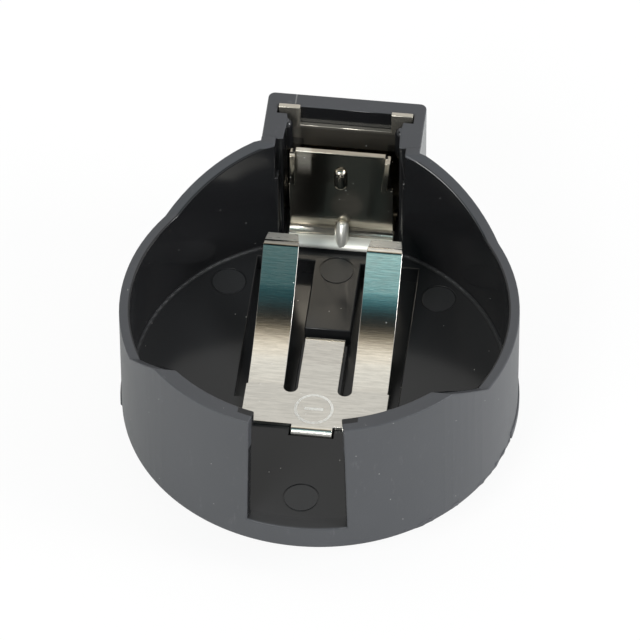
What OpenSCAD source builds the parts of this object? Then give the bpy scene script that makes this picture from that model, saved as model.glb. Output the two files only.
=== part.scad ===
// Coin cell holder for a circuit board: an open moulded cup with a tower behind it,
// a positive contact standing in the tower and a negative contact lying on the floor.
// Origin: centre of the cup on the board. +Y points from the finger notch to the tower.

/* [Cell] */
// Diameter of the coin cell that the cup takes
cell_d = 24.5; // [22:0.1:30]
// Thickness of the coin cell
cell_h = 7.7; // [5.5:0.1:9]
// Height that the pressed cell keeps above the negative plate
cell_rise = 0.62; // [0.4:0.02:1.2]
// Gap between the cell and the wall round it
cell_gap = 0.05; // [0.05:0.05:0.4]

/* [Cup] */
// Thickness of the round wall
cup_wall = 0.7; // [0.5:0.05:1.5]
// Thickness of the floor
floor_t = 1.75; // [1.6:0.05:3]
// Height of the low rims at both sides above the floor
side_rise = 6.95; // [5:0.05:7.5]
// Distance from the centre forward to the foot of the front ramps
front_ramp_y = 5.8; // [3:0.1:8]
// Slope of the front ramps in degrees
front_slope = 41; // [35:1:60]
// Distance from the centre back to the foot of the rear ramps
rear_ramp_y = 6.95; // [5:0.05:7.5]
// Slope of the rear ramps in degrees
rear_slope = 30; // [28:1:60]
// How far the ledge round the rear of the base stands proud of the wall
ledge = 0.1; // [0.05:0.05:0.5]
// Height of the ledge
ledge_h = 0.6; // [0.4:0.1:1.4]
// Distance from the centre forward to the ends of the ledge
ledge_front_y = 2.3; // [1:0.1:8]

/* [Front notch and lips] */
// Width of the finger notch at the floor, across the outside of the wall
notch_w = 6.54; // [5:0.02:9]
// Lean of the notch's two faces towards each other in degrees
notch_lean = 1.3; // [0:0.1:3]
// Overhang of the lips that hold the cell down
lip = 0.35; // [0.2:0.05:0.8]
// Height of the lips
lip_h = 0.9; // [0.5:0.05:1.5]

/* [Tower] */
// Width of the tower
tower_w = 10.5; // [9.6:0.1:14]
// Thickness of the tower's two arms
arm_t = 1.42; // [1.2:0.02:1.6]
// Thickness of the tower's back wall
back_t = 1.1; // [0.6:0.05:2]
// Room behind the cell for the positive contact
contact_room = 3.1; // [2.8:0.05:5]
// Radius of the tower's upright corners
tower_round = 0.45; // [0.1:0.05:0.8]
// Step from the top of the tower up to the round rim in front of it
rim_step = 0.15; // [0.05:0.01:0.5]
// Depth of the wing slots along the tower
wing_slot = 0.7; // [0.6:0.05:1.2]
// How much wider than the tower's inside the doorway in the round wall is, on each side
doorway_extra = 0.27; // [0.1:0.01:0.4]
// How much wider still the upper part of the doorway is, on each side
doorway_step = 0.2; // [0.05:0.01:0.3]
// Height of the doorway's wider upper part
doorway_upper = 3.1; // [1:0.1:6]
// Radius of the round nubs on the inner faces of the arms
nub_r = 0.45; // [0.3:0.01:0.46]
// Height of the nubs
nub_h = 2.2; // [1.5:0.1:4]
// Distance of the nubs behind the cell's edge
nub_y = 1.75; // [1.4:0.05:1.8]

/* [Floor] */
// Radius of the hollow between the floor and the round wall
floor_hollow = 0.15; // [0.05:0.05:0.4]
// Depth of the two channels that the fingers sink into
channel_depth = 1.3; // [0.6:0.05:1.4]
// Half width of the rib between the channels
rib_half = 1.54; // [1.45:0.02:1.7]
// Gap between a finger and the outer wall of its channel
channel_gap = 0.75; // [0.3:0.05:1.2]
// Distance from the cell's rear edge forward to the end of the channels
channel_end = 1.85; // [1.5:0.05:2.5]
// Depth of the seat for the foot of the positive contact
foot_seat = 0.1; // [0.05:0.05:0.3]
// Radius of the round ejector marks
mark_r = 1.2; // [0.8:0.1:1.4]
// Depth of the groove round each ejector mark
mark_depth = 0.06; // [0.02:0.02:0.2]
// Distance from the cell's edge in to the centre of the front mark
mark_front = 1.9; // [1.6:0.1:3]
// Distance from the cell's edge in to the centre of the rear mark
mark_rear = 2.6; // [1.8:0.1:3]
// Distance from the cell's edge in to the centres of the side marks
mark_side = 1.7; // [1.5:0.1:2.5]
// Angle of the side marks from the middle of the tower in degrees
mark_angle = 41.5; // [40:0.5:60]

/* [Negative contact] */
// Thickness of the negative sheet
neg_t = 0.3; // [0.2:0.02:0.4]
// Width of the front plate
plate_w = 9.44; // [9.3:0.02:9.8]
// Distance from the centre forward to the plate's front edge
plate_front_y = 4.36; // [3.6:0.02:5]
// Width of one finger
finger_w = 2.38; // [2:0.02:2.4]
// Width of the two slots beside the strip
slot_w = 0.9; // [0.7:0.02:1]
// Distance from the centre forward to the slots' round ends
slot_front_y = 1.6; // [1:0.1:2.4]
// Width of the strip between the slots
strip_w = 2.66; // [2.4:0.02:2.8]
// Distance from the centre back to where the strip turns down
strip_end_y = 3.66; // [3:0.02:4.4]
// Slope that the fingers start with, just behind the plate, in degrees
root_slope = 9; // [3:1:12]
// Radius of the upward sweep of the fingers
finger_sweep_r = 14.7; // [12:0.1:16]
// Slope of the fingers after the sweep in degrees
finger_slope = 36; // [30:1:38]
// Straight length of a finger after the sweep
finger_run = 2.46; // [1.5:0.02:2.6]
// Length of the tip that turns down past the crest
tip_len = 0.85; // [0.6:0.05:1.4]
// Slope of the tip below level in degrees
tip_drop = 14; // [0:1:30]
// Width of the tip at its end
tip_w = 1.96; // [1.4:0.02:2]
// Width of the front tab
tab_w = 2.72; // [2:0.02:4]
// Reach of the front tab forward of the plate
tab_reach = 0.62; // [0.62:0.02:1]
// Gap between the end of the front tab and the underside of the floor
tab_end = 0.45; // [0.3:0.05:0.6]

/* [Positive contact] */
// Thickness of the positive sheet
pos_t = 0.35; // [0.25:0.01:0.4]
// Reach of each wing into the arm of the tower
wing_reach = 0.62; // [0.5:0.02:0.7]
// Width of each ear at the top of the back plate
ear_w = 1.42; // [1:0.02:2]
// Drop of the back plate's middle edge below the ears
ear_drop = 1.62; // [0.5:0.02:3]
// How far the ears stand above the tower
ear_rise = 0.15; // [0:0.05:0.5]
// Width of the leaf and its foot
leaf_w = 6.9; // [6.2:0.05:7]
// Width of the leaf's upper part over its side flanges
leaf_top_w = 6.66; // [5.6:0.02:6.7]
// How far the leaf's top stands inside the cell's edge
leaf_press = 0.35; // [0.1:0.05:0.5]
// Lean of the leaf towards the cell in degrees
leaf_lean = 2.5; // [0:0.5:3]
// Height of the leaf's top edge below the tower's top
leaf_drop = 0.65; // [0.3:0.05:2]
// Height of the upper part with flanges
flange_h = 3.0; // [2:0.1:3.4]
// Depth of the side flanges forward of the leaf
flange_d = 0.4; // [0.3:0.05:0.8]
// Distance from the leaf's top edge down to its flanges
flange_drop = 0.15; // [0.05:0.05:0.8]
// Reach of the foot in front of the leaf
foot_reach = 0.3; // [0.25:0.05:0.7]
// Radius of the rib pressed into the bend between foot and leaf
gusset_r = 0.42; // [0.3:0.01:0.5]
// Radius of the oblong contact bump
bump_r = 0.47; // [0.3:0.01:0.6]
// Height of the oblong contact bump
bump_h = 1.95; // [1.3:0.05:2.4]
// How far the bump stands out of the leaf
bump_out = 0.4; // [0.1:0.05:0.4]
// Distance from the leaf's top edge down to the middle of the bump
bump_drop = 2.45; // [1.5:0.05:3]

/* [Solder pins] */
// Width of the pins
pin_w = 0.9; // [0.6:0.05:0.92]
// Length of the pins below the base
pin_len = 3.2; // [2:0.1:5]
// Gap round a pin or tab in its slot
pin_gap = 0.08; // [0.04:0.02:0.1]

/* [Hidden] */
$fn = 96;
cut = 1;                 // overrun of a cutting shape past a face
big = 60;                // larger than the whole holder
bend_r = 0.45;           // centreline radius of the small bends in both sheets
slot_gap = 0.06;         // gap at the outer edge of a wing in its slot
seat_gap = 0.35;         // gap in front of the foot in its seat
mark_line = 0.12;        // width of the groove round an ejector mark
relief = 0.1;            // width of the slits between the foot and the pins
rim_level = 0.3;         // shortest level rim left in front of the tower; a tall cell makes the rear ramp steeper
rib_step = 0.69;         // gap behind the strip where it turns down through the rib
arc_step = 6;            // degrees between two points of a bend

// Round wall, rims and tower
cell_r = cell_d / 2;
pocket_r = cell_r + cell_gap;
cup_r = pocket_r + cup_wall;
top_h = floor_t + neg_t + cell_rise + cell_h + lip_h;
side_h = floor_t + side_rise;
rear_h = top_h + rim_step;
front_top_y = front_ramp_y + (top_h - side_h) / tan(front_slope);
tower_front_y = pocket_r;
rear_top_y = min(rear_ramp_y + (rear_h - side_h) / tan(rear_slope), tower_front_y - rim_level);
tower_in_half = tower_w / 2 - arm_t;
tower_in_y = cell_r + contact_room;
tower_back_y = tower_in_y + back_t;
wing_half = tower_in_half + wing_reach;
channel_end_y = cell_r - channel_end;

// Negative contact
strip_half = strip_w / 2;
finger_in = strip_half + slot_w;
finger_out = finger_in + finger_w;
finger_root_y = slot_w / 2 - slot_front_y;
channel_out = finger_out + channel_gap;
channel_front_y = slot_front_y + bend_r;
tab_front_y = plate_front_y + tab_reach;
neg_bend = bend_r + neg_t / 2;             // from the outer face of a bend to its start
root_r = 2;                                // radius of the first bend of a finger
finger_turn = finger_slope - root_slope;
crest_y = finger_root_y + root_r * sin(root_slope)
    + finger_sweep_r * (sin(finger_slope) - sin(root_slope)) + finger_run * cos(finger_slope);

// Positive contact
foot_z = floor_t - foot_seat;
hairpin_r = pos_t / 2 + 0.12;              // centreline radius of the fold at the foot's front
back_mid_y = tower_in_y - pos_t / 2;
foot_mid_z = foot_z + pos_t / 2;
foot_top = foot_mid_z + 2 * hairpin_r + pos_t / 2;
foot_front_y = cell_r - leaf_press - foot_reach;
hairpin_y = foot_front_y + pos_t / 2 + hairpin_r;
leaf_top = top_h - leaf_drop;
leaf_base_z = foot_mid_z + 2 * hairpin_r + bend_r * (1 + sin(leaf_lean));
leaf_len = (leaf_top - leaf_base_z) / cos(leaf_lean);
leaf_base_y = cell_r - leaf_press + pos_t / 2 + leaf_len * sin(leaf_lean);
wing_foot_z = foot_z + 2 * bend_r;         // where the slits beside the foot end
ear_top = top_h + ear_rise;
pin_in = wing_half - pin_w;

// Each entry of a sheet's run is [straight length, turn in degrees, bend radius].
// The result lists [point, heading] along the middle of the sheet.
function trace(run, at, heading, i = 0) =
    i == len(run) ? [] :
    let (go = run[i][0], turn = run[i][1], r = run[i][2] * sign(turn),
         start = at + go * [cos(heading), sin(heading)],
         middle = start + r * [-sin(heading), cos(heading)],
         n = ceil(abs(turn) / arc_step),
         bend = [for (k = [1:1:n]) let (h = heading + turn * k / n) [middle - r * [-sin(h), cos(h)], h]])
    concat(go > 0 ? [[start, heading]] : [], bend,
           trace(run, n > 0 ? bend[n - 1][0] : start, heading + turn, i + 1));

// A bent sheet as wide as w, drawn from its side: the first axis is Y, the second is Z
module bent_sheet(run, at, heading, t, w) {
    path = concat([[at, heading]], trace(run, at, heading));
    upper = [for (p = path) p[0] + t / 2 * [-sin(p[1]), cos(p[1])]];
    lower = [for (p = path) p[0] - t / 2 * [-sin(p[1]), cos(p[1])]];
    across(w) polygon(concat(upper, [for (k = [len(lower) - 1:-1:0]) lower[k]]));
}

// A side view (Y, Z) made w wide about the middle
module across(w) {
    rotate([90, 0, 90]) linear_extrude(w, center = true) children();
}

// A front view (X, Z) made solid from y0 to y1
module along(y0, y1) {
    translate([0, y1, 0]) rotate([90, 0, 0]) linear_extrude(y1 - y0) children();
}

// A box from x0 to x1, y0 to y1 and z0 to z1
module block(x0, x1, y0, y1, z0, z1) {
    translate([x0, y0, z0]) cube([x1 - x0, y1 - y0, z1 - z0]);
}

module both_sides() {
    children();
    mirror([1, 0, 0]) children();
}

// ---- Housing ----

module rim_outline() {
    polygon([[-big, -cut], [-big, top_h], [-front_top_y, top_h], [-front_ramp_y, side_h],
             [rear_ramp_y, side_h], [rear_top_y, rear_h], [tower_front_y, rear_h],
             [tower_front_y, top_h], [big, top_h], [big, -cut]]);
}

module tower_plan(y0) {
    flat_y = tower_back_y - tower_round;
    translate([-tower_w / 2, y0]) square([tower_w, flat_y - y0]);
    translate([tower_round - tower_w / 2, y0]) square([tower_w - 2 * tower_round, tower_back_y - y0]);
    both_sides() translate([tower_w / 2 - tower_round, flat_y]) circle(tower_round);
}

module front_lips() {
    low = top_h - lip_h;
    mid_wall = pocket_r + cup_wall / 2;
    intersection() {
        rotate_extrude() polygon([[pocket_r - lip, top_h], [pocket_r - lip, low], [pocket_r, low - lip],
                                  [mid_wall, low - lip], [mid_wall, top_h]]);
        block(-big, big, -big, 0, 0, big);
    }
}

// Hollow ring that softens the corner between the floor and the wall
module floor_ring() {
    in_r = pocket_r - floor_hollow;
    rotate_extrude() difference() {
        translate([in_r, floor_t]) square(floor_hollow);
        translate([in_r, floor_t + floor_hollow]) circle(floor_hollow);
    }
}

module cup() {
    intersection() {
        union() {
            difference() {
                union() {
                    cylinder(r = cup_r, h = rear_h);
                    linear_extrude(rear_h) tower_plan(0);
                }
                translate([0, 0, floor_t]) cylinder(r = pocket_r, h = big);
            }
            front_lips();
            floor_ring();
        }
        across(big) rim_outline();
    }
    intersection() {
        cylinder(r = cup_r + ledge, h = ledge_h);
        block(-big, big, -ledge_front_y, big, 0, big);
    }
}

// Everything on the notch's side of its right face, which points at the centre of the cup
module notch_side() {
    translate([0, 0, floor_t]) rotate([0, 0, asin(notch_w / 2 / cup_r)]) rotate([0, -notch_lean, 0])
        block(-big, 0, -big, 0, -big, big);
}

module notch() {
    intersection() {
        block(-big, big, -big, 0, floor_t, big);
        notch_side();
        mirror([1, 0, 0]) notch_side();
    }
}

module tower_inside() {
    door = tower_in_half + doorway_extra;
    slot = wing_half + slot_gap;
    block(-tower_in_half, tower_in_half, pocket_r / 2, tower_in_y, floor_t, big);
    block(-door, door, pocket_r / 2, tower_front_y, floor_t, big);
    block(-door - doorway_step, door + doorway_step, pocket_r / 2, tower_front_y, top_h - doorway_upper, big);
    block(-slot, slot, tower_in_y - wing_slot, tower_in_y, floor_t, big);
    block(-tower_in_half, tower_in_half, foot_front_y - seat_gap, tower_in_y, foot_z, big);
}

module finger_channels() {
    both_sides() block(rib_half, channel_out, -channel_front_y, channel_end_y, floor_t - channel_depth, big);
}

module mark(x, y) {
    translate([x, y, floor_t - mark_depth]) difference() {
        cylinder(r = mark_r, h = cut);
        cylinder(r = mark_r - mark_line, h = cut);
    }
}

module ejector_marks() {
    mark(0, mark_front - cell_r);
    mark(0, cell_r - mark_rear);
    both_sides() mark((cell_r - mark_side) * sin(mark_angle), (cell_r - mark_side) * cos(mark_angle));
}

module pin_slots() {
    strip_z = floor_t - channel_depth;
    tab_half = tab_w / 2 + pin_gap;
    wing_back_y = tower_in_y - pos_t - pin_gap;
    block(-rib_half, rib_half, strip_end_y - neg_bend, strip_end_y + rib_step, strip_z, big);
    block(-pin_w / 2 - pin_gap, pin_w / 2 + pin_gap, strip_end_y - neg_t - pin_gap, strip_end_y + pin_gap, -cut, big);
    block(-tab_half, tab_half, -tab_front_y - pin_gap, neg_bend - tab_front_y, tab_end - pin_gap, big);
    both_sides() block(pin_in - pin_gap, wing_half + slot_gap, wing_back_y, tower_in_y, -cut, big);
}

module nubs() {
    top = top_h - nub_r;
    both_sides() translate([tower_in_half, cell_r + nub_y, top - nub_h + nub_r]) {
        cylinder(r = nub_r, h = nub_h - nub_r);
        sphere(nub_r);
        translate([0, 0, nub_h - nub_r]) sphere(nub_r);
    }
}

module housing() {
    color([0.13, 0.13, 0.14]) {
        difference() {
            cup();
            notch();
            tower_inside();
            finger_channels();
            ejector_marks();
            pin_slots();
        }
        nubs();
    }
}

// ---- Positive contact ----

module back_plate() {
    y0 = tower_in_y - pos_t;
    difference() {
        block(-wing_half, wing_half, y0, tower_in_y, foot_z, ear_top);
        block(ear_w - wing_half, wing_half - ear_w, y0 - cut, tower_in_y + cut, ear_top - ear_drop, big);
        block(-leaf_w / 2 - relief, leaf_w / 2 + relief, y0 - cut, tower_in_y + cut, 0, wing_foot_z);
    }
    both_sides() block(pin_in, wing_half, y0, tower_in_y, -pin_len, foot_z + pos_t);
}

module foot_and_leaf() {
    run = [[wing_foot_z + pos_t - foot_mid_z - bend_r, -90, bend_r],
           [back_mid_y - bend_r - hairpin_y, -180, hairpin_r],
           [leaf_base_y - bend_r * cos(leaf_lean) - hairpin_y, 90 + leaf_lean, bend_r],
           [leaf_len, 0, 0]];
    shoulder_z = leaf_top - flange_h - pos_t;
    difference() {
        bent_sheet(run, [back_mid_y, wing_foot_z + pos_t], -90, pos_t, leaf_w);
        both_sides() {
            block(leaf_top_w / 2, big, foot_front_y - cut, back_mid_y - cut, shoulder_z, big);
            block(leaf_top_w / 2 - pos_t, big, foot_front_y - cut, back_mid_y - cut, leaf_top - flange_drop, big);
        }
    }
}

module flanges() {
    thick = flange_d + pos_t;
    both_sides() translate([leaf_top_w / 2 - pos_t, leaf_base_y, leaf_base_z]) rotate([leaf_lean, 0, 0])
        block(0, pos_t, pos_t / 2 - thick, pos_t / 2, leaf_len - flange_h, leaf_len - flange_drop);
}

// Oblong bump that presses on the side of the cell
module bump() {
    half = bump_h / 2 - bump_r;
    translate([0, leaf_base_y, leaf_base_z]) rotate([leaf_lean, 0, 0])
        intersection() {
            translate([0, bump_r - bump_out - pos_t / 2, leaf_len - bump_drop]) {
                translate([0, 0, -half]) cylinder(r = bump_r, h = 2 * half);
                for (end = [-half, half]) translate([0, 0, end]) sphere(bump_r);
            }
            block(-big, big, -big, 0, 0, big);
        }
}

// Rounded rib that stiffens the bend between the foot and the leaf
module gusset() {
    rise = 2.2 * gusset_r;
    reach = leaf_base_y - foot_front_y - 2 * gusset_r;
    translate([0, foot_front_y + gusset_r, foot_top - gusset_r]) {
        sphere(gusset_r);
        rotate([-atan(reach / rise), 0, 0]) cylinder(r = gusset_r, h = norm([rise, reach]));
        translate([0, reach, rise]) sphere(gusset_r);
    }
}

module positive_contact() {
    color([0.78, 0.76, 0.72]) {
        back_plate();
        foot_and_leaf();
        flanges();
        bump();
        gusset();
    }
}

// ---- Negative contact ----

module plate_plan() {
    block(-tab_w / 2, tab_w / 2, -big, -plate_front_y, -big, big);
    block(-plate_w / 2, plate_w / 2, -plate_front_y, finger_root_y, -big, big);
    block(-strip_half, strip_half, -plate_front_y, strip_end_y - neg_t - cut, -big, big);
    block(-strip_half, strip_half, -plate_front_y, big, floor_t - bend_r, big);
    block(-pin_w / 2, pin_w / 2, -plate_front_y, big, -big, big);
}

module plate_and_strip() {
    run = [[floor_t + neg_t / 2 - bend_r - tab_end, -90, bend_r],
           [strip_end_y + tab_front_y - 2 * neg_bend, -90, bend_r],
           [floor_t + neg_t / 2 - bend_r + pin_len, 0, 0]];
    intersection() {
        bent_sheet(run, [neg_t / 2 - tab_front_y, tab_end], 90, neg_t, plate_w);
        plate_plan();
    }
}

// Plan of one finger: full width up to the crest, then tapering over the tip
module finger_plan() {
    tip_in = (finger_w - tip_w) / 2;
    end_y = crest_y + bend_r + tip_len;
    polygon([[finger_in, finger_root_y - neg_t], [finger_out, finger_root_y - neg_t], [finger_out, crest_y],
             [finger_out - tip_in, end_y], [finger_in + tip_in, end_y], [finger_in, crest_y]]);
}

module finger() {
    run = [[neg_t, root_slope, root_r], [0, finger_turn, finger_sweep_r],
           [finger_run, -finger_slope - tip_drop, bend_r], [tip_len, 0, 0]];
    intersection() {
        bent_sheet(run, [finger_root_y - neg_t, floor_t + neg_t / 2], 0, neg_t, 2 * finger_out + cut);
        linear_extrude(big) finger_plan();
    }
}

module slot_ends() {
    both_sides() translate([strip_half + slot_w / 2, finger_root_y, 0]) cylinder(d = slot_w, h = big);
}

module negative_contact() {
    color([0.80, 0.79, 0.76]) difference() {
        union() {
            plate_and_strip();
            both_sides() finger();
        }
        slot_ends();
    }
}

housing();
positive_contact();
negative_contact();
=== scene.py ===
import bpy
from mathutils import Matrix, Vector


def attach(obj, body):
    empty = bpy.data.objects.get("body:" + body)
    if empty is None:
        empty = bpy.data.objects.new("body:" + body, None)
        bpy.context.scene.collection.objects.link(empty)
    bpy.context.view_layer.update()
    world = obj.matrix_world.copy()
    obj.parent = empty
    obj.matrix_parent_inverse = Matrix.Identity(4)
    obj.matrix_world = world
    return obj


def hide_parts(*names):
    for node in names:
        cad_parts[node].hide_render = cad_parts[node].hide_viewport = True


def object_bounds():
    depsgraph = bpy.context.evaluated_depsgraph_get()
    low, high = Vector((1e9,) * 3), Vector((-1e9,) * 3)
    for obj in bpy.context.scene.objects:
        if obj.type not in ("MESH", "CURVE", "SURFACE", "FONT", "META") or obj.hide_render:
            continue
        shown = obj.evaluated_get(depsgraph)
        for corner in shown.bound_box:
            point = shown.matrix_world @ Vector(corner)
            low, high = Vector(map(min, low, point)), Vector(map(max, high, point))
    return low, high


bl_info = {
    "name": "Coin cell holder",
    "version": (1, 0, 0),
    "blender": (4, 5, 0),
    "location": "3D View > Sidebar > Cell holder",
    "description": "Dresses the packed coin cell holder: moulded cup, two sheet contacts and a plain studio",
    "category": "Object",
}

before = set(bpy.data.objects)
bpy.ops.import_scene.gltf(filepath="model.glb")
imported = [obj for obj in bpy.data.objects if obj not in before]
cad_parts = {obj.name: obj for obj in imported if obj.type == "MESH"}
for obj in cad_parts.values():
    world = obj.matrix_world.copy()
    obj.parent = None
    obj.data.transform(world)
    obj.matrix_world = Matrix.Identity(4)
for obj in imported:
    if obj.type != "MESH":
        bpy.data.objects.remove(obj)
cad_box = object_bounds()

import math

import bmesh
import bpy
from bpy.props import FloatProperty, FloatVectorProperty, IntProperty, PointerProperty
from mathutils import Matrix, Vector
from mathutils.bvhtree import BVHTree

MM = 0.001
CUP_RADIUS = 13.0 * MM
FLOOR_TOP = 1.75 * MM
MARK_RADIUS = 1.2 * MM
SHARP_CORNER = math.radians(34)
# Heights and depths of the part that the materials and the reshaping go by, in millimetres
TOWER_FRONT = 11.9
TOWER_TOP = 11.17
BACK_WALL = 15.3
FLOOR_ZONE = 1.95
LEAF_BACK = 13.4
FOLD_FRONT = 12.07
RIB_X = 0.1
MINUS_SPOT = (-0.04, -2.94)
# Point that the camera looks at, and its shift across the view
AIM_HEIGHT = 4 * MM
VIEW_SHIFT_RIGHT, VIEW_SHIFT_UP = 0.0235 * MM, 2.335 * MM
# Light of the tent from the back horizon (0) over the top (0.5) to the front horizon (1)
TENT = [
    (0.0, (0.62, 0.62, 0.62)), (0.2, (0.72, 0.72, 0.71)), (0.3, (0.78, 0.77, 0.74)),
    (0.37, (0.84, 0.82, 0.78)), (0.43, (0.95, 0.95, 0.91)), (0.485, (1.15, 1.08, 0.95)),
    (0.52, (0.5, 0.44, 0.34)), (0.545, (0.08, 0.07, 0.05)), (0.57, (0.015, 0.015, 0.015)),
    (0.61, (0.0204, 0.034, 0.0374)), (0.635, (0.034, 0.153, 0.187)), (0.662, (0.102, 0.34, 0.391)),
    (0.685, (0.646, 1, 1)), (0.72, (0.935, 1, 1)), (0.8, (0.42, 0.45, 0.47)),
    (1.0, (0.5, 0.5, 0.5)),
]
# Places of the ejector marks on the floor
MARKS = [(0, -10.35 * MM), (0, 9.65 * MM), (6.991 * MM, 7.902 * MM), (-6.991 * MM, 7.902 * MM)]


# ---- Sizes and finishes that a user would change ----

class MouldedCupSettings(bpy.types.PropertyGroup):
    edge_round: FloatProperty(name="Edge round", description="Radius worn onto the moulded edges",
                              default=0.09 * MM, min=0, unit="LENGTH")
    flash_reach: FloatProperty(name="Flash reach", description="How far the flash round the base edge stands out",
                               default=0.07 * MM, min=0, unit="LENGTH")
    flash_height: FloatProperty(name="Flash height", description="Height of the flash round the base edge",
                                default=0.3 * MM, min=0, unit="LENGTH")
    flash_seed: IntProperty(name="Flash seed", description="Fixed seed of the ragged flash", default=7)
    # Painted shade: the polished inside keeps this darker colour, while the outside and rims take a lighter one,
    # partly their satin finish and partly painted light.
    plastic_colour: FloatVectorProperty(name="Plastic colour", description="Colour of the black moulding",
                                        subtype="COLOR", size=3, default=(0.012, 0.0122, 0.0132), min=0, max=1)
    outer_satin_lit_colour: FloatVectorProperty(name="Outer colour", description="Colour of the satin outside and the rims",
                                     subtype="COLOR", size=3, default=(0.050, 0.052, 0.058), min=0, max=1)
    satin: FloatProperty(name="Outer roughness", description="Roughness of the outer wall and the rims",
                         default=0.42, min=0, max=1, subtype="FACTOR")
    gloss: FloatProperty(name="Inner roughness", description="Roughness of the polished inside",
                         default=0.16, min=0, max=1, subtype="FACTOR")


class SheetContactSettings(bpy.types.PropertyGroup):
    edge_round: FloatProperty(name="Edge round", description="Radius of the blanked edges of both sheets",
                              default=0.04 * MM, min=0, unit="LENGTH")
    nickel_colour: FloatVectorProperty(name="Nickel colour", description="Colour of the plated faces",
                                       subtype="COLOR", size=3, default=(0.78, 0.755, 0.70), min=0, max=1)
    leaf_colour: FloatVectorProperty(name="Leaf colour", description="Warmer colour of the positive sheet",
                                     subtype="COLOR", size=3, default=(0.56, 0.51, 0.43), min=0, max=1)
    rib_radius: FloatProperty(name="Pressed rib", description="Radius of the rib pressed into the foot's bend",
                              default=0.42 * MM, min=0, unit="LENGTH")
    polish: FloatProperty(name="Roughness", description="Roughness of the plated faces",
                          default=0.13, min=0, max=1, subtype="FACTOR")
    minus_radius: FloatProperty(name="Minus mark radius", default=1.2 * MM, min=0, unit="LENGTH",
                                description="Radius of the ring stamped round the minus sign")


class StudioSettings(bpy.types.PropertyGroup):
    view_elevation: FloatProperty(name="View elevation", description="Height of the camera above the board",
                                  default=math.radians(47.924), subtype="ANGLE")
    view_azimuth: FloatProperty(name="View azimuth", description="Turn of the camera round the holder",
                                default=math.radians(6.955), subtype="ANGLE")
    view_roll: FloatProperty(name="View roll", description="Turn of the camera about its own axis",
                             default=math.radians(-0.359), subtype="ANGLE")
    view_distance: FloatProperty(name="View distance", description="Distance from the camera to the holder",
                                 default=0.5, unit="LENGTH")
    lens: FloatProperty(name="Lens", description="Focal length in millimetres", default=430.8)
    floor_colour: FloatVectorProperty(name="Floor colour", description="Colour of the plain floor",
                                      subtype="COLOR", size=3, default=(0.9, 0.9, 0.9), min=0, max=1)


# ---- Shader maths ----

class Value:
    """Wraps a number or colour socket, so that an expression adds its own nodes."""

    def __init__(self, shader, socket):
        self.shader, self.socket = shader, socket

    def _math(self, operation, *others):
        return self.shader.node("ShaderNodeMath", dict(operation=operation), *[self, *others])

    def __add__(self, other): return self._math("ADD", other)
    __radd__ = __add__
    def __sub__(self, other): return self._math("SUBTRACT", other)

    def __rsub__(self, other):
        return self.shader.node("ShaderNodeMath", dict(operation="SUBTRACT"), other, self)

    def __mul__(self, other): return self._math("MULTIPLY", other)
    __rmul__ = __mul__
    def __truediv__(self, other): return self._math("DIVIDE", other)
    def __pow__(self, other): return self._math("POWER", other)
    def below(self, other): return self._math("LESS_THAN", other)
    def above(self, other): return self._math("GREATER_THAN", other)
    def absolute(self): return self._math("ABSOLUTE")
    def most(self, other): return self._math("MAXIMUM", other)

    def ramp(self, low, high):
        """0 up to low, 1 from high, smooth between them."""
        return self.shader.node("ShaderNodeMapRange", dict(interpolation_type="SMOOTHSTEP"),
                                **{"Value": self, "From Min": low, "From Max": high})


class Shader:
    """One node tree, built from expressions."""

    def __init__(self, tree):
        self.tree = tree
        tree.nodes.clear()

    def node(self, kind, settings=None, *values, out=0, **named):
        made = self.tree.nodes.new(kind)
        for key, setting in (settings or {}).items():
            if key == "stops":
                stops = made.color_ramp.elements
                while len(stops) < len(setting):
                    stops.new(0.5)
                for stop, (place, colour) in zip(stops, setting):
                    stop.position, stop.color = place, (*colour, 1)
            else:
                setattr(made, key, setting)
        for key, value in [*enumerate(values), *named.items()]:
            if value is None:
                continue
            if isinstance(value, Value):
                self.tree.links.new(value.socket, made.inputs[key])
            else:
                made.inputs[key].default_value = value
        return Value(self, made.outputs[out]) if made.outputs else None

    def place(self):
        """Object coordinates in millimetres, as three numbers and as one vector."""
        spot = self.node("ShaderNodeTexCoord", out=3)
        spot = self.node("ShaderNodeVectorMath", dict(operation="SCALE"), spot, Scale=1000.0)
        split = self.node("ShaderNodeSeparateXYZ", None, spot)
        outs = split.socket.node.outputs
        return spot, Value(self, outs[0]), Value(self, outs[1]), Value(self, outs[2])

    def stretched(self, spot, scale):
        return self.node("ShaderNodeVectorMath", dict(operation="MULTIPLY"), spot, Vector(scale))

    def noise(self, spot, scale, detail=3.0, roughness=0.55):
        return self.node("ShaderNodeTexNoise", None, Vector=spot, Scale=scale, Detail=detail, Roughness=roughness)

    def mix(self, share, first, second):
        made = self.tree.nodes.new("ShaderNodeMix")
        made.data_type = "RGBA"
        for key, value in ((0, share), (6, first), (7, second)):
            if isinstance(value, Value):
                self.tree.links.new(value.socket, made.inputs[key])
            else:
                made.inputs[key].default_value = (*value, 1) if key else value
        return Value(self, made.outputs[2])

    def specks(self, spot, per_mm, size, share):
        """1 on a few tiny grains of dust, 0 elsewhere."""
        grain = self.node("ShaderNodeTexVoronoi", dict(feature="F1"), Vector=spot, Scale=per_mm)
        pick = self.node("ShaderNodeSeparateColor", None, Value(self, grain.socket.node.outputs["Color"]))
        return grain.below(size * per_mm) * pick.above(1 - share)

    def surface(self, finish):
        self.node("ShaderNodeOutputMaterial", None, finish)


def new_material(name):
    material = bpy.data.materials.new(name)
    material.use_nodes = True
    return material, Shader(material.node_tree)


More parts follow.
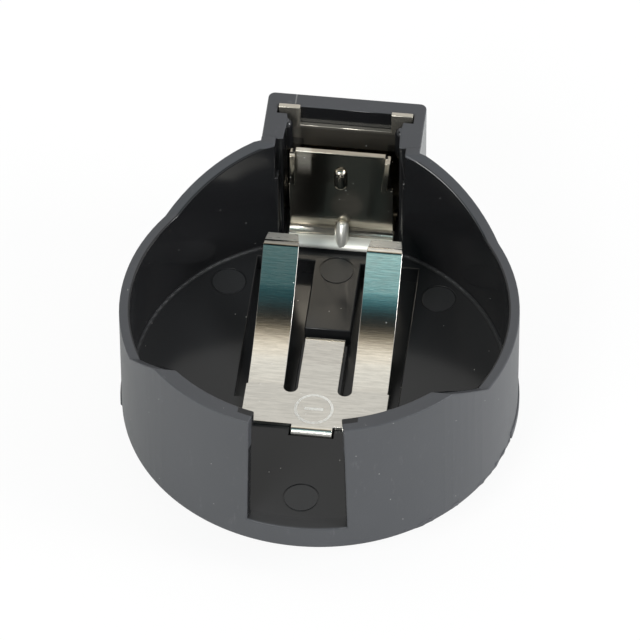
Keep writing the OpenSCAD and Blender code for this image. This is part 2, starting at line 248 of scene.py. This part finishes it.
def moulded_plastic(settings):
    """Black moulding: satin outside and on the rims, polished inside, with scuffs and a little dust."""
    material, shader = new_material("black_moulding")
    spot, x, y, z = shader.place()
    radius = (x * x + y * y) ** 0.5
    tower_side = x.absolute().ramp(5.15, 5.2) * y.above(TOWER_FRONT)
    tower_top = z.ramp(TOWER_TOP, TOWER_TOP + 0.05) * (x.absolute().ramp(3.8, 3.9).most(y.above(BACK_WALL)))
    rim_top = radius.ramp(12.38, 12.46) * z.ramp(8.5, 8.62)
    tower_well = x.absolute().below(4.6) * y.above(10.5) * y.below(15.42) * z.below(TOWER_TOP + 0.05)
    satin = radius.ramp(12.8, 12.95).most(rim_top).most(tower_top) * (1 - tower_well)
    floor_edge = radius.above(12.08) * z.below(FLOOR_ZONE) * (1 - satin)
    floor = z.below(FLOOR_ZONE) * (1 - satin)
    marks = None
    for mark_x, mark_y in MARKS:
        near = (((x - mark_x / MM) ** 2 + (y - mark_y / MM) ** 2) ** 0.5).below(MARK_RADIUS / MM - 0.1)
        marks = near if marks is None else marks.most(near)
    marks = marks * z.below(FLOOR_TOP / MM + 0.05)
    clouds = shader.noise(spot, 0.3, 4.0)
    scuffs = shader.noise(shader.stretched(spot, (1.0, 1.0, 0.3)), 1.9, 6.0, 0.72).ramp(0.58, 0.8)
    grain = shader.noise(spot, 8.0, 4.0, 0.6)
    dust = shader.specks(spot, 1.3, 0.03, 0.32)
    # Painted highlight: a thin lighter line along the seam on the tower top, for light caught by its hairline
    # ridge.
    seam_highlight = (x + 3.39).absolute().below(0.04) * y.above(BACK_WALL + 0.2) * z.above(TOWER_TOP + 0.03)
    deep = tuple(settings.plastic_colour)
    # worn holds the lighter outer colour: partly the satin finish, partly painted light against the painted shade
    # of the darker inside.
    worn = tuple(settings.outer_satin_lit_colour)
    # Painted light: the cup's floor gets a lighter base than its walls, lighter still on the ejector marks.
    deep = shader.mix(floor * (0.45 + marks * 0.4), deep, (0.03, 0.031, 0.033))
    base = shader.mix(satin, deep, worn)
    base = shader.mix((clouds - 0.35) * satin * 0.6, base, tuple(c * 1.35 for c in worn))
    base = shader.mix(scuffs * (satin * 0.25 + 0.03), base, (0.20, 0.20, 0.21))
    # Dust specks, and the painted highlight along the seam, take a pale colour.
    base = shader.mix((dust * 0.8).most(seam_highlight * 0.2), base, (0.62, 0.61, 0.58))
    rough = (settings.satin * satin + settings.gloss * (1 - satin) - tower_side * 0.2 + marks * 0.22
             + floor_edge * 0.3 + (clouds - 0.5) * 0.08 + scuffs * 0.06 + dust * 0.4)
    bump = shader.node("ShaderNodeBump", None, Strength=0.3, Distance=0.02 * MM,
                       Height=grain * (satin * 0.8 + marks * 1.2 + 0.05) + clouds * 0.5)
    finish = shader.node("ShaderNodeBsdfPrincipled", None, **{"Base Color": base, "Roughness": rough,
                         "IOR": 1.45, "Normal": bump})
    shader.surface(finish)
    return material


def plated_sheet(settings, name, colour, painted_highlight, painted_shade, minus=False):
    """Nickel plating over rolled sheet: fine lines across, faint clouds and dust.

    The two functions after the colour take the place in millimetres and give the share of painted highlight and of
    painted shade."""
    material, shader = new_material(name)
    spot, x, y, z = shader.place()
    lines = shader.noise(shader.stretched(spot, (0.5, 5.0, 5.0)), 1.5, 6.0, 0.7)
    fine = shader.noise(shader.stretched(spot, (0.9, 22.0, 22.0)), 1.4, 4.0, 0.7)
    clouds = shader.noise(spot, 0.8, 3.0)
    dust = shader.specks(spot, 2.2, 0.026, 0.32)
    base = shader.mix(clouds * 0.5, colour, tuple(c * 0.9 for c in colour))
    base = shader.mix(lines.ramp(0.36, 0.66) * 0.7, base, tuple(c * 0.72 for c in colour))
    # Painted shade: where its share runs, the plating is darkened to a quarter.
    base = shader.mix(painted_shade(x, y, z), base, tuple(c * 0.25 for c in colour))
    # Painted highlight: where its share runs, the plating turns lighter, rougher and less metallic.
    painted_highlight_share = painted_highlight(x, y, z)
    base = shader.mix(painted_highlight_share, base, (0.93, 0.92, 0.86))
    metal = 1 - dust * 0.8 - painted_highlight_share * 0.7
    rough = painted_highlight_share * 0.3 + settings.polish + (lines - 0.5) * 0.10 + (clouds - 0.5) * 0.06 + dust * 0.3
    height = lines * 0.6 + fine * 0.4
    if minus:
        across, along = x - MINUS_SPOT[0], y - MINUS_SPOT[1]
        reach = (across ** 2 + along ** 2) ** 0.5
        ring = (reach - settings.minus_radius / MM).absolute().below(0.09)
        dash = across.absolute().below(0.62) * along.absolute().below(0.12)
        broken = shader.noise(spot, 5.0, 3.0).ramp(0.36, 0.5)
        mark = ring.most(dash) * (0.45 + broken * 0.55) * z.above(1.9)
        base = shader.mix(mark * 0.9, base, (0.97, 0.96, 0.92))
        rough = rough + mark * 0.38
        metal = metal - mark * 0.8
        height = height - mark * 2.0
    base = shader.mix(dust, base, (0.9, 0.9, 0.88))
    bump = shader.node("ShaderNodeBump", None, Strength=0.5, Distance=0.009 * MM, Height=height)
    finish = shader.node("ShaderNodeBsdfPrincipled", None, **{"Base Color": base, "Metallic": metal,
                         "Roughness": rough, "Normal": bump})
    shader.surface(finish)
    return material


def blanked_edge():
    """Torn, bright edge left where the sheet was cut out, with a painted glow on its grains above 6.5 mm."""
    material, shader = new_material("blanked_edge")
    spot, x, y, z = shader.place()
    tears = shader.noise(spot, 7.0, 5.0, 0.7)
    base = shader.mix(tears.ramp(0.38, 0.6), (0.70, 0.67, 0.58), (0.97, 0.95, 0.88))
    bump = shader.node("ShaderNodeBump", None, Strength=0.6, Distance=0.03 * MM, Height=tears)
    # Painted glow: above 6.5 mm the torn grains emit a little light of their own.
    glint = tears.ramp(0.35, 0.6) * z.ramp(6.5, 7.0) * 0.45
    glow = shader.mix(glint, (0.0, 0.0, 0.0), base)
    material.cycles.emission_sampling = "NONE"
    finish = shader.node("ShaderNodeBsdfPrincipled", None, **{"Base Color": base, "Metallic": 0.35,
                         "Roughness": 0.42 + tears * 0.2, "Normal": bump,
                         "Emission Color": glow, "Emission Strength": 1.0})
    shader.surface(finish)
    return material


# ---- Mesh work ----

def round_the_edges(node, name, width, wanted, cut_width=0.0, reshape=None, torn=None):
    """A merged copy of a CAD mesh, its wanted outward edges rounded, its shading kept flat on flat faces.

    Faces no wider than cut_width, and those that torn picks, get the second material. reshape moves each point."""
    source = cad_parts[node]
    form = bmesh.new()
    form.from_mesh(source.data)
    bmesh.ops.remove_doubles(form, verts=form.verts, dist=2e-6)
    bmesh.ops.dissolve_limit(form, angle_limit=math.radians(0.5), verts=form.verts, edges=form.edges, delimit=set())
    weight = form.edges.layers.float.new("bevel_weight_edge")
    for edge in form.edges:
        if edge.is_manifold and edge.calc_face_angle_signed() > SHARP_CORNER:
            middle = (edge.verts[0].co + edge.verts[1].co) / 2
            edge[weight] = float(wanted(middle, edge))
    for face in form.faces:
        face.smooth = True
        longest = max(edge.calc_length() for edge in face.edges)
        narrow = longest > cut_width * 1.2 and face.calc_area() / longest < cut_width * 1.05
        if cut_width and narrow and all(edge.calc_face_angle(0) > SHARP_CORNER for edge in face.edges
                                        if edge.calc_length() > 0.8 * longest):
            face.material_index = 1
        if torn and torn(face.calc_center_median(), face.normal):
            face.material_index = 1
    for vertex in form.verts if reshape else ():
        reshape(vertex.co)
    mesh = bpy.data.meshes.new(name)
    form.to_mesh(mesh)
    form.free()
    mesh.set_sharp_from_angle(angle=math.radians(38))
    piece = bpy.data.objects.new(name, mesh)
    bpy.context.scene.collection.objects.link(piece)
    rounding = piece.modifiers.new("rounding", "BEVEL")
    rounding.limit_method, rounding.width, rounding.segments = "WEIGHT", width, 3
    rounding.use_clamp_overlap, rounding.loop_slide = False, True
    flat = piece.modifiers.new("flat_faces", "WEIGHTED_NORMAL")
    flat.keep_sharp = True
    settle(piece)
    return piece


def smooth(share):
    """0 below 0, 1 above 1, smooth between them."""
    share = min(max(share, 0.0), 1.0)
    return share * share * (3 - 2 * share)


def settle(piece):
    """Makes a piece's modifiers part of its mesh."""
    bpy.context.view_layer.update()
    done = bpy.data.meshes.new_from_object(piece.evaluated_get(bpy.context.evaluated_depsgraph_get()))
    piece.modifiers.clear()
    piece.data = done
    done.name = piece.name


def finish_piece(piece, materials, replaces=None):
    piece.data.materials.clear()
    for material in materials:
        piece.data.materials.append(material)
    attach(piece, "root")
    if replaces:
        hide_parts(replaces)


def flash_tree(material):
    """Ring of ragged flash that follows the base edge, thickest at the right."""
    tree = bpy.data.node_groups.new("base_flash", "GeometryNodeTree")
    for name, kind in (("Radius", "NodeSocketFloat"), ("Reach", "NodeSocketFloat"),
                       ("Height", "NodeSocketFloat"), ("Seed", "NodeSocketInt")):
        tree.interface.new_socket(name, in_out="INPUT", socket_type=kind)
    tree.interface.new_socket("Geometry", in_out="OUTPUT", socket_type="NodeSocketGeometry")
    nodes, links = tree.nodes, tree.links

    def add(kind, *values, out=0, **settings_and_names):
        made = nodes.new(kind)
        named = settings_and_names.pop("named", {})
        for key, value in settings_and_names.items():
            setattr(made, key, value)
        for key, value in [*enumerate(values), *named.items()]:
            if value is None:
                continue
            if isinstance(value, bpy.types.NodeSocket):
                links.new(value, made.inputs[key])
            else:
                made.inputs[key].default_value = value
        return made.outputs[out]

    entry = nodes.new("NodeGroupInput")
    radius, reach, height, seed = entry.outputs[:4]
    ring = add("GeometryNodeCurvePrimitiveCircle", named={"Resolution": 540, "Radius": radius})
    thin = add("ShaderNodeMath", reach, 2.0, operation="MULTIPLY")
    band = add("GeometryNodeCurvePrimitiveQuadrilateral", named={"Width": thin, "Height": height})
    swept = add("GeometryNodeCurveToMesh", named={"Curve": ring, "Profile Curve": band})
    place = add("GeometryNodeInputPosition")
    noise = add("ShaderNodeTexNoise", noise_dimensions="4D",
                named={"Vector": place, "W": seed, "Scale": 900.0, "Detail": 4.0, "Roughness": 0.65})
    split = nodes.new("ShaderNodeSeparateXYZ")
    links.new(place, split.inputs[0])
    x, y = split.outputs[:2]
    right = add("ShaderNodeMapRange", interpolation_type="SMOOTHSTEP",
                named={"Value": x, "From Min": 3.0 * MM, "From Max": 8.0 * MM})
    ragged = add("ShaderNodeMapRange", named={"Value": noise, "From Min": 0.50, "From Max": 0.68,
                                              "To Min": -1.2, "To Max": 0.0})
    share = add("ShaderNodeMath", ragged, 1.2, operation="ADD")
    share = add("ShaderNodeMath", share, right, operation="MULTIPLY")
    share = add("ShaderNodeMath", share, -1.2, operation="ADD")
    push = add("ShaderNodeMath", share, reach, operation="MULTIPLY")
    push = add("ShaderNodeMath", push, radius, operation="DIVIDE")
    flat_spot = add("ShaderNodeCombineXYZ", x, y, 0.0)
    offset = add("ShaderNodeVectorMath", operation="SCALE", named={0: flat_spot, "Scale": push})
    moved = add("GeometryNodeSetPosition", named={"Geometry": swept, "Offset": offset})
    solid = add("GeometryNodeRealizeInstances", moved)
    done = add("GeometryNodeSetMaterial", solid, named={"Material": material})
    leave = nodes.new("NodeGroupOutput")
    links.new(done, leave.inputs[0])
    return tree


# ---- One operator for each piece ----

class HOLDER_OT_housing(bpy.types.Operator):
    """Rounds the moulded cup with its tower and gives it the black moulding"""
    bl_idname = "cell_holder.housing"
    bl_label = "Moulded cup"

    def execute(self, context):
        settings = context.scene.moulded_cup

        def wanted(middle, edge):
            if middle.z < FLOOR_TOP + 0.02 * MM and middle.z > 0.3 * MM:
                near = min(math.hypot(middle.x - x, middle.y - y) for x, y in MARKS)
                return near > MARK_RADIUS + 0.1 * MM and edge.calc_length() > 0.4 * MM
            return True

        piece = round_the_edges("housing", "moulded_cup", settings.edge_round, wanted)
        finish_piece(piece, [moulded_plastic(settings)], "housing")
        return {"FINISHED"}


class HOLDER_OT_flash(bpy.types.Operator):
    """Runs the thin ragged flash of the mould round the base edge"""
    bl_idname = "cell_holder.flash"
    bl_label = "Base flash"

    def execute(self, context):
        settings = context.scene.moulded_cup
        material = bpy.data.materials["black_moulding"]
        mesh = bpy.data.meshes.new("base_flash")
        piece = bpy.data.objects.new("base_flash", mesh)
        context.scene.collection.objects.link(piece)
        tree = flash_tree(material)
        modifier = piece.modifiers.new("flash", "NODES")
        modifier.node_group = tree
        sizes = {"Radius": CUP_RADIUS, "Reach": settings.flash_reach, "Height": settings.flash_height,
                 "Seed": settings.flash_seed}
        for socket in tree.interface.items_tree:
            if socket.in_out == "INPUT":
                modifier[socket.identifier] = sizes[socket.name]
        settle(piece)
        piece.data.transform(Matrix.Translation((0, 0, settings.flash_height / 2)))
        if not piece.data.polygons:
            raise RuntimeError("the flash came out empty")
        finish_piece(piece, [material])
        return {"FINISHED"}


class HOLDER_OT_positive(bpy.types.Operator):
    """Rounds the standing positive contact and plates it"""
    bl_idname = "cell_holder.positive"
    bl_label = "Positive contact"

    def execute(self, context):
        settings = context.scene.sheet_contacts

        def torn(middle, normal):
            """The front edges of the leaf's flanges, which the blanked edge's painted glow lights up."""
            return normal.y < -0.5 and abs(middle.x) > 2.9 * MM and 6.5 * MM < middle.z < 10.8 * MM

        def painted_highlight(x, y, z):
            """Painted highlight on the foot's flat top, fading up its bend, on a patch at the leaf's upper corner
            and, a little, on the upper back plate.
            """
            foot = y.below(LEAF_BACK) * (y.below(12.0) * z.below(2.75)).most((1 - z.ramp(2.5, 3.3)) * 0.4)
            corner = x.ramp(-3.0, -2.75) * (1 - x.ramp(-2.05, -1.85)) * z.ramp(8.0, 9.6) * y.below(LEAF_BACK)
            back = y.above(LEAF_BACK) * (z.above(9.6) * 0.08 + z.above(8.0) * 0.12)
            return foot.most(corner * 0.32).most(back)

        def painted_shade(x, y, z):
            """Painted shade on the sides of the back plate."""
            return y.above(LEAF_BACK) * x.absolute().above(2.8) * z.below(8.6)

        solid = bmesh.new()
        solid.from_mesh(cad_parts["positive_contact"].data)
        self.sheet = BVHTree.FromBMesh(solid)
        solid.free()
        piece = round_the_edges("positive_contact", "positive_leaf", settings.edge_round,
                                lambda middle, edge: edge.calc_length() > 0.1 * MM, 0.35 * MM,
                                self.square_the_fold, torn)
        self.pressed_rib(context, settings)
        plating = plated_sheet(settings, "positive_plating", tuple(settings.leaf_colour), painted_highlight, painted_shade)
        finish_piece(piece, [plating, blanked_edge()], "positive_contact")
        return {"FINISHED"}

    def square_the_fold(self, spot):
        """Draws the foot's fold out to a flat top, deepens its bend, takes the small gusset into the leaf
        (the pressed rib stands there) and toes the right flange in."""
        fold = FOLD_FRONT * MM
        if abs(spot.x - RIB_X * MM) < 0.5 * MM and 2.5 * MM < spot.z < 4.6 * MM and spot.y < 13.0 * MM:
            leaf = self.sheet.ray_cast(Vector((1.3 * MM, 0, spot.z)), Vector((0, 1, 0)))[0]
            spot.y = max(spot.y, leaf.y)
        if spot.z < 2.75 * MM and spot.y < fold:
            spot.y = fold - (fold - spot.y) * 1.7
        elif spot.y < 13.5 * MM and spot.z > 2.0 * MM:
            height = spot.z / MM
            spot.y += 0.2 * MM * smooth((height - 2.5) / 0.5) * (1 - smooth((height - 3.2) / 4.0))
        if spot.x > 2.9 * MM and 7.0 * MM < spot.z < 10.6 * MM and spot.y < 12.3 * MM:
            height = spot.z / MM
            spot.x -= 0.28 * MM * smooth((12.0 - spot.y / MM) / 0.25) * (1 - smooth((height - 7.6) / 2.6))

    def pressed_rib(self, context, settings):
        """Half-round rib pressed up through the bend between the foot and the leaf."""
        course = ((11.72, 1.98), (11.72, 2.02), (11.72, 2.3), (11.78, 2.6), (11.9, 2.9), (12.06, 3.15),
                  (12.24, 3.4), (12.4, 3.65))
        swell = (0.98, 1.0, 1.02, 1.05, 1.05, 1.0, 0.95, 0.8)
        sides = 32
        path = [Vector((RIB_X * MM, y * MM, z * MM)) for y, z in course]
        side = Vector((1, 0, 0))
        form = bmesh.new()
        rings = []
        for k, (spot, size) in enumerate(zip(path, swell)):
            along = (path[min(k + 1, len(path) - 1)] - path[max(k - 1, 0)]).normalized()
            out = side.cross(along)
            radius = settings.rib_radius * size
            rings.append([form.verts.new(spot + radius * (side * math.cos(a) + out * math.sin(a)))
                          for a in [math.tau * n / sides for n in range(sides)]])
        for first, second in zip(rings, rings[1:]):
            for n in range(sides):
                after = (n + 1) % sides
                form.faces.new((first[n], first[after], second[after], second[n]))
        form.faces.new(rings[0][::-1])
        form.faces.new(rings[-1])
        bmesh.ops.recalc_face_normals(form, faces=form.faces)
        for face in form.faces:
            face.smooth = True
        mesh = bpy.data.meshes.new("pressed_rib")
        form.to_mesh(mesh)
        form.free()
        rib = bpy.data.objects.new("pressed_rib", mesh)
        context.scene.collection.objects.link(rib)
        smoother = rib.modifiers.new("smoother", "SUBSURF")
        smoother.levels = smoother.render_levels = 2
        settle(rib)
        # The whole rib takes painted highlight at a share of 0.6, and no painted shade.
        plating = plated_sheet(settings, "rib_plating", tuple(settings.nickel_colour),
                               lambda x, y, z: 0.6, lambda x, y, z: 0.0)
        finish_piece(rib, [plating])


class HOLDER_OT_negative(bpy.types.Operator):
    """Rounds the sprung negative contact, plates it and stamps its minus mark"""
    bl_idname = "cell_holder.negative"
    bl_label = "Negative contact"

    def execute(self, context):
        settings = context.scene.sheet_contacts

        def tilt(spot):
            """The right finger stands a little higher than the left."""
            if spot.x > 2.0 * MM and spot.y > 3.0 * MM:
                spot.z += 0.0035 / MM * (spot.y - 3.0 * MM) ** 2

        piece = round_the_edges("negative_contact", "negative_fingers", settings.edge_round,
                                lambda middle, edge: True, 0.3 * MM, tilt)
        tips = max(vertex.co.y for vertex in piece.data.vertices) / MM - 0.82

        def painted_highlight(x, y, z):
            """Painted highlight on the tips of both fingers and, a little, on the plate."""
            return (y.below(1.0) * 0.12).most(y.above(tips) * 0.5)

        def painted_shade(x, y, z):
            """Painted shade on the raised part of the left finger."""
            return x.below(-1.5) * y.ramp(3.6, 5.2) * 0.8

        plating = plated_sheet(settings, "negative_plating", tuple(settings.nickel_colour), painted_highlight, painted_shade,
                               minus=True)
        finish_piece(piece, [plating, bpy.data.materials["blanked_edge"]], "negative_contact")
        return {"FINISHED"}


class HOLDER_OT_studio(bpy.types.Operator):
    """Sets the plain floor, the soft light and the camera"""
    bl_idname = "cell_holder.studio"
    bl_label = "Studio"

    def execute(self, context):
        settings = context.scene.studio
        self.floor(context, settings)
        self.surroundings(context)
        self.lamps(context)
        self.camera(context, settings)
        context.scene.view_settings.view_transform = "Standard"
        return {"FINISHED"}

    def floor(self, context, settings):
        half = 1.5
        mesh = bpy.data.meshes.new("studio_floor")
        low = cad_box[0][2]
        corners = [(-half, -half, low), (half, -half, low), (half, half, low), (-half, half, low)]
        mesh.from_pydata(corners, [], [(0, 1, 2, 3)])
        floor = bpy.data.objects.new("studio_floor", mesh)
        context.scene.collection.objects.link(floor)
        material, shader = new_material("plain_floor")
        paint = shader.node("ShaderNodeBsdfDiffuse", None, Color=(*settings.floor_colour, 1))
        white = shader.node("ShaderNodeEmission", None, Color=(1, 1, 1, 1), Strength=1.0)
        seen = shader.node("ShaderNodeLightPath")  # 1 where the camera looks straight at the floor
        mixed = shader.node("ShaderNodeMixShader", None, seen * 0.9, paint, white)
        shader.surface(mixed)
        mesh.materials.append(material)

    def surroundings(self, context):
        world = bpy.data.worlds.new("surroundings")
        context.scene.world = world
        world.use_nodes = True
        shader = Shader(world.node_tree)
        way = shader.node("ShaderNodeTexCoord", out=0)
        split = shader.node("ShaderNodeSeparateXYZ", None, way).socket.node.outputs
        side, depth, height = (Value(shader, part) for part in split)
        arc = shader.node("ShaderNodeMath", dict(operation="ARCTAN2"), height, depth)
        tent = shader.node("ShaderNodeValToRGB", dict(stops=TENT), arc / math.pi)
        wall = side.ramp(0.42, 0.72) + (0 - side).ramp(0.5, 0.8) * 0.35
        tent = shader.mix(wall, tent, (0.95, 0.96, 1.0))
        light = shader.node("ShaderNodeBackground", None, tent, 1.0)
        shader.node("ShaderNodeOutputWorld", None, light)

    def lamps(self, context):
        for name, spot, size, power, colour in (
                ("soft_front", (-0.25, -0.55, 0.45), 0.35, 3.0, (1.0, 0.99, 0.97)),
                ("soft_right", (0.6, -0.1, 0.35), 0.3, 2.5, (0.98, 0.99, 1.0))):
            lamp = bpy.data.lights.new(name, "AREA")
            lamp.shape, lamp.size, lamp.energy, lamp.color = "DISK", size, power, colour
            held = bpy.data.objects.new(name, lamp)
            turned = Vector(spot).to_track_quat("Z", "Y").to_matrix().to_4x4()
            held.matrix_world = Matrix.Translation(spot) @ turned
            context.scene.collection.objects.link(held)

    def camera(self, context, settings):
        rise, turn, roll = settings.view_elevation, settings.view_azimuth, settings.view_roll
        back = Vector((math.sin(turn) * math.cos(rise), -math.cos(turn) * math.cos(rise), math.sin(rise)))
        right = Vector((math.cos(turn), math.sin(turn), 0))
        up = back.cross(right)
        right, up = (right * math.cos(roll) + up * math.sin(roll),
                     up * math.cos(roll) - right * math.sin(roll))
        spot = Vector((0, 0, AIM_HEIGHT)) + back * settings.view_distance
        spot += up * VIEW_SHIFT_UP + right * VIEW_SHIFT_RIGHT
        camera = bpy.data.objects.new("camera", bpy.data.cameras.new("camera"))
        camera.data.lens, camera.data.sensor_width = settings.lens, 36
        camera.data.clip_start, camera.data.clip_end = 0.01, 10
        camera.matrix_world = Matrix.Translation(spot) @ Matrix((right, up, back)).transposed().to_4x4()
        context.scene.collection.objects.link(camera)
        context.scene.camera = camera


class HOLDER_PT_panel(bpy.types.Panel):
    """Lists the pieces and their sizes"""
    bl_idname = "HOLDER_PT_panel"
    bl_label = "Coin cell holder"
    bl_space_type = "VIEW_3D"
    bl_region_type = "UI"
    bl_category = "Cell holder"

    def draw(self, context):
        for operator in OPERATORS:
            self.layout.operator(operator.bl_idname)
        for group in (context.scene.moulded_cup, context.scene.sheet_contacts, context.scene.studio):
            box = self.layout.box()
            for name in group.bl_rna.properties.keys():
                if name not in ("rna_type", "name"):
                    box.prop(group, name)


GROUPS = {"moulded_cup": MouldedCupSettings, "sheet_contacts": SheetContactSettings, "studio": StudioSettings}
OPERATORS = [HOLDER_OT_studio, HOLDER_OT_housing, HOLDER_OT_flash, HOLDER_OT_positive, HOLDER_OT_negative]


def register():
    for name, group in GROUPS.items():
        bpy.utils.register_class(group)
        setattr(bpy.types.Scene, name, PointerProperty(type=group))
    for item in [*OPERATORS, HOLDER_PT_panel]:
        bpy.utils.register_class(item)


def unregister():
    for item in [HOLDER_PT_panel, *reversed(OPERATORS)]:
        bpy.utils.unregister_class(item)
    for name, group in GROUPS.items():
        delattr(bpy.types.Scene, name)
        bpy.utils.unregister_class(group)


def main():
    register()
    bpy.ops.cell_holder.studio()
    bpy.ops.cell_holder.housing()
    bpy.ops.cell_holder.flash()
    bpy.ops.cell_holder.positive()
    bpy.ops.cell_holder.negative()


if __name__ == "__main__":
    main()
